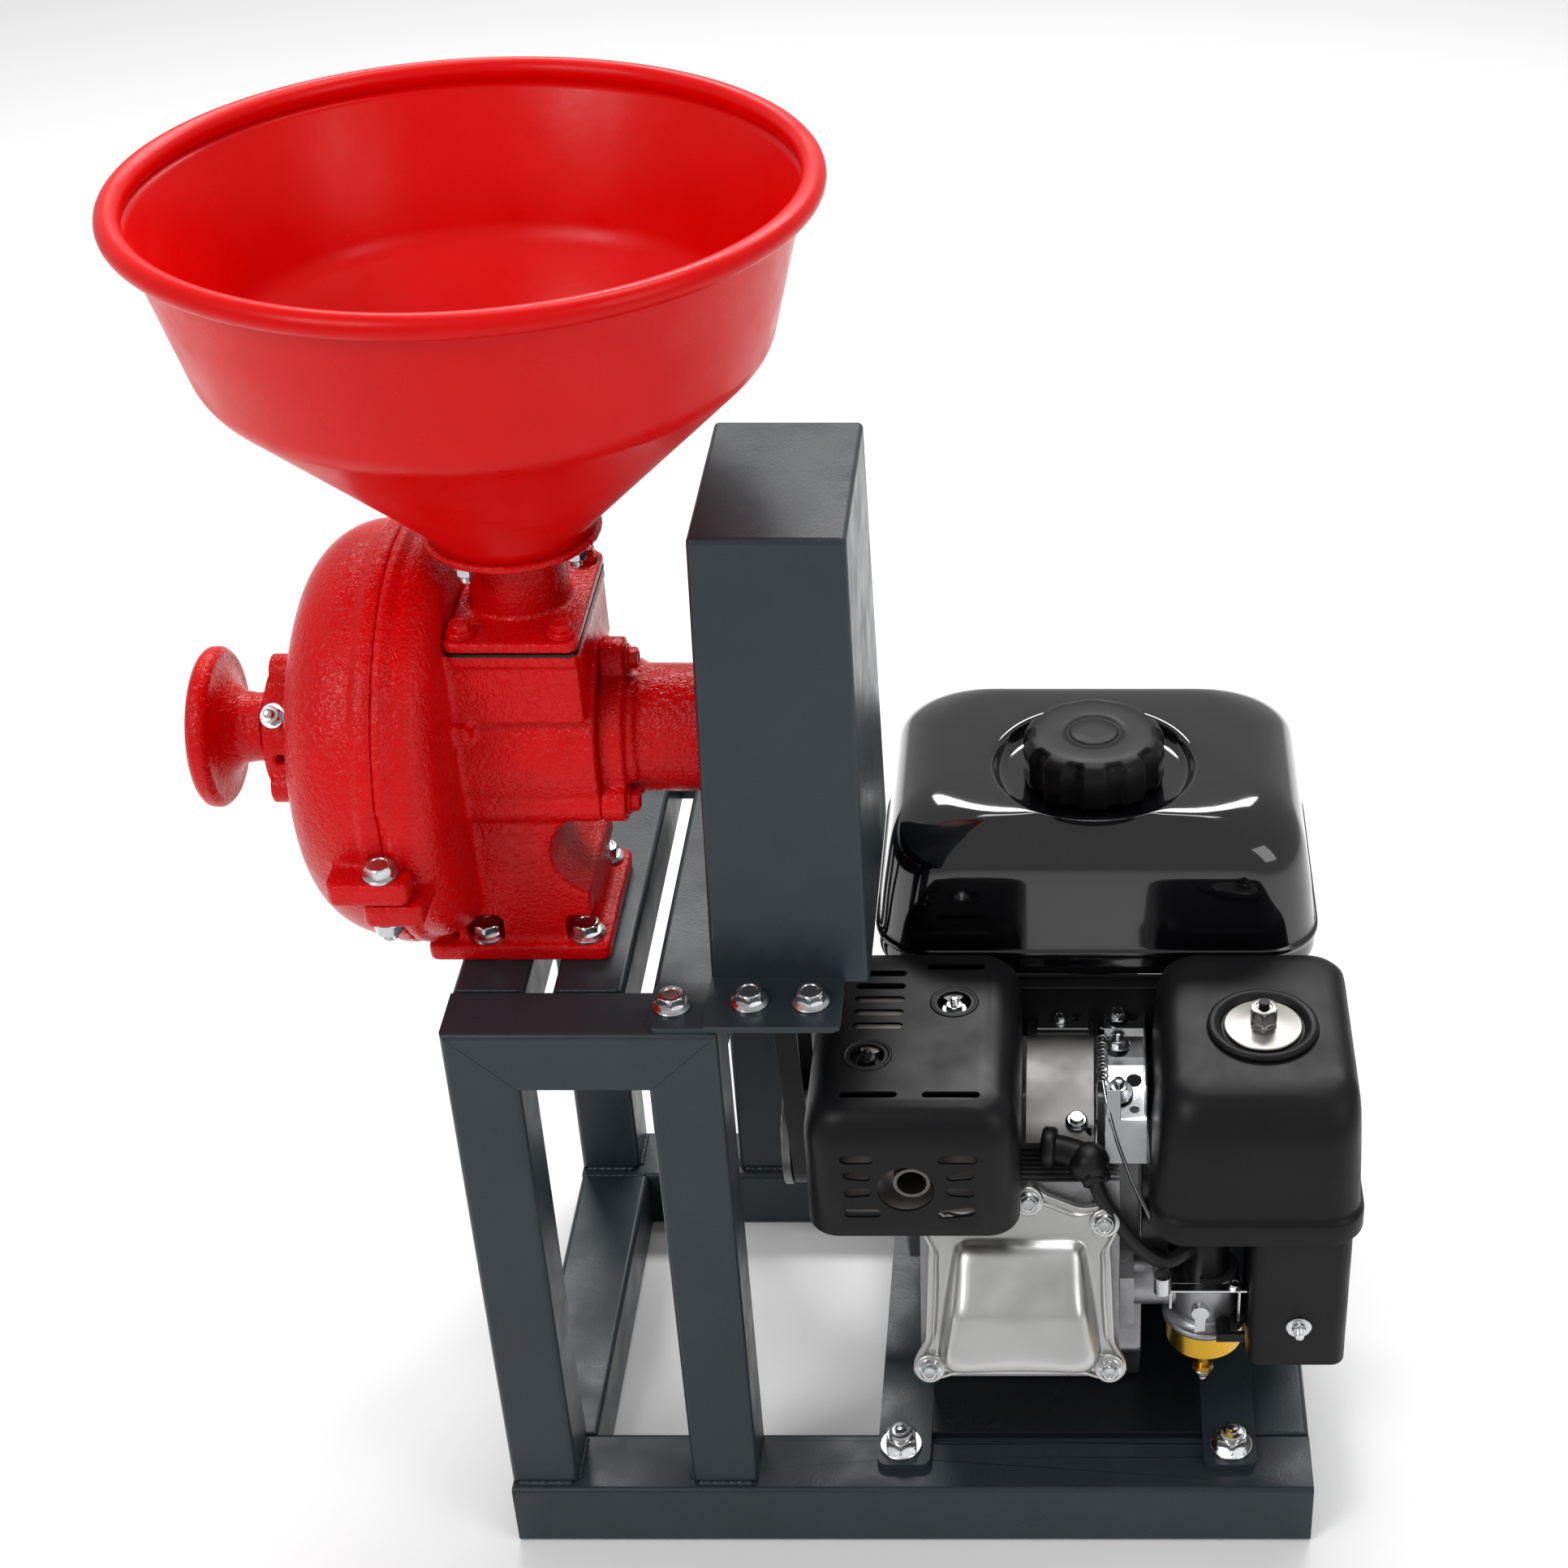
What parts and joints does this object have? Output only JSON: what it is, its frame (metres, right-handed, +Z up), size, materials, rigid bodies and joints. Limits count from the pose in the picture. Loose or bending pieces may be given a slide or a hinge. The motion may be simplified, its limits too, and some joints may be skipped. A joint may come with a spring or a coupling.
{
  "type": "grain mill",
  "caption": "Disc mill for grain on a welded tube stand, with a flared round hopper, a belt guard and a small petrol engine beside it.",
  "frame": {"origin": "on the floor, below the middle of the machine's bounding box", "axes": "+Z up, +Y to the back, away from the rocker cover's side, +X from the mill towards the engine, along both shafts"},
  "size_m": [0.61, 0.393, 0.799],
  "materials": {
    "frame_paint": "dark slate powder coat",
    "zinc_steel": "bright zinc plate",
    "cast_red": "red enamel over rough casting",
    "hopper_red": "smooth bright red powder coat",
    "ground_iron": "machined grey iron",
    "bright_steel": "ground steel",
    "rubber_black": "black rubber",
    "engine_aluminium": "die-cast aluminium",
    "rocker_aluminium": "satin aluminium",
    "gloss_black": "gloss black enamel",
    "fan_black": "satin black enamel",
    "matte_black": "moulded black plastic",
    "muffler_black": "heat-proof matte black",
    "muffler_steel": "heat-tinted steel",
    "gold_zinc": "yellow passivated zinc",
    "filter_foam": "dark foam"
  },
  "bodies": {
    "stand": {"base_tubes": "frame_paint", "stand_legs": "frame_paint", "table_tubes": "frame_paint", "engine_rails": "frame_paint", "engine_plate": "frame_paint", "belt_guard": "frame_paint", "guard_bracket": "frame_paint", "rail_studs": "zinc_steel", "frame_bolts": "zinc_steel", "clamp_bolts": "zinc_steel", "adjuster_lock_screw": "zinc_steel", "hopper_screws": "zinc_steel", "rocker_cover_bolts": "zinc_steel", "spark_plug": "zinc_steel", "mill_body": "cast_red", "front_cover": "cast_red", "adjuster_cap": "cast_red", "bearing_housing": "cast_red", "inlet_neck": "cast_red", "casting_bolts": "cast_red", "hopper": "hopper_red", "bearing_outer_rings": "bright_steel", "shaft_seal": "rubber_black", "v_belt": "rubber_black", "inlet_gasket": "rubber_black", "plug_lead": "rubber_black", "crankcase": "engine_aluminium", "crankcase_cover": "engine_aluminium", "cylinder_head": "engine_aluminium", "carburettor": "engine_aluminium", "rocker_cover": "rocker_aluminium", "fuel_tank": "gloss_black", "fan_housing": "fan_black", "recoil_cover": "fan_black", "air_cleaner_base": "matte_black", "muffler_guard": "muffler_black", "muffler": "muffler_steel", "carburettor_bowl": "gold_zinc", "filter_element": "filter_foam"},
    "mill_rotor": {"mill_shaft": "bright_steel", "turning_plate": "ground_iron", "feed_screw": "ground_iron", "mill_pulley": "ground_iron", "bearing_inner_sets": "bright_steel"},
    "crank": {"crankshaft": "bright_steel", "flywheel": "ground_iron", "engine_pulley": "ground_iron"},
    "plate_carrier": {"fixed_plate": "ground_iron"},
    "handwheel": {"adjuster_handwheel": "cast_red", "adjuster_spindle": "bright_steel"},
    "cap": {"tank_cap": "matte_black", "cap_gasket": "rubber_black"},
    "air_cover": {"air_cleaner_cover": "matte_black"},
    "air_nut": {"air_cleaner_nut": "zinc_steel"},
    "starter_grip": {"recoil_handle": "matte_black"},
    "throttle": {"throttle_lever": "zinc_steel"},
    "choke": {"choke_lever": "zinc_steel"},
    "fuel_cock": {"fuel_valve": "matte_black"}
  },
  "joints": [
    {"name": "mill_spin", "type": "hinge", "parent": "stand", "child": "mill_rotor", "pos_m": [-0.08, -0.0315, 0.497], "axis": [1, 0, 0], "continuous": true},
    {"name": "crank_spin", "type": "hinge", "parent": "stand", "child": "crank", "pos_m": [0.07, 0.0445, 0.155], "axis": [1, 0, 0], "continuous": true},
    {"name": "plate_feed", "type": "slide", "parent": "stand", "child": "plate_carrier", "axis": [1, 0, 0], "range_m": [0, 0.00401]},
    {"name": "handwheel_turn", "type": "hinge", "parent": "plate_carrier", "child": "handwheel", "pos_m": [-0.29, -0.0315, 0.497], "axis": [1, 0, 0], "range_deg": [0, 720]},
    {"name": "cap_turn", "type": "hinge", "parent": "stand", "child": "cap", "pos_m": [0.158, 0.0925, 0.4], "axis": [0, 0, 1], "range_deg": [0, 90]},
    {"name": "air_cover_lift", "type": "slide", "parent": "stand", "child": "air_cover", "axis": [0, 0, 1], "range_m": [0, 0.12]},
    {"name": "air_nut_turn", "type": "hinge", "parent": "air_cover", "child": "air_nut", "pos_m": [0.25, -0.0635, 0.333], "axis": [0, 0, 1], "continuous": true},
    {"name": "starter_pull", "type": "slide", "parent": "stand", "child": "starter_grip", "axis": [0, 1, 0], "range_m": [0, 0.3], "stiffness_N_per_m": 25, "springref_m": -0.05},
    {"name": "throttle_turn", "type": "hinge", "parent": "stand", "child": "throttle", "pos_m": [0.196, -0.0935, 0.176], "axis": [0, 0, 1], "range_deg": [-20, 25]},
    {"name": "choke_turn", "type": "hinge", "parent": "stand", "child": "choke", "pos_m": [0.218, -0.1155, 0.156], "axis": [0, 1, 0], "range_deg": [0, 40]},
    {"name": "fuel_cock_turn", "type": "hinge", "parent": "stand", "child": "fuel_cock", "pos_m": [0.231, -0.1155, 0.146], "axis": [0, 1, 0], "range_deg": [-60, 0]}
  ],
  "couplings": [
    {"joint": "crank_spin", "follows": "mill_spin", "ratio": 1.6207},
    {"joint": "plate_feed", "follows": "handwheel_turn", "m_per_rad": 0.00031831}
  ]
}
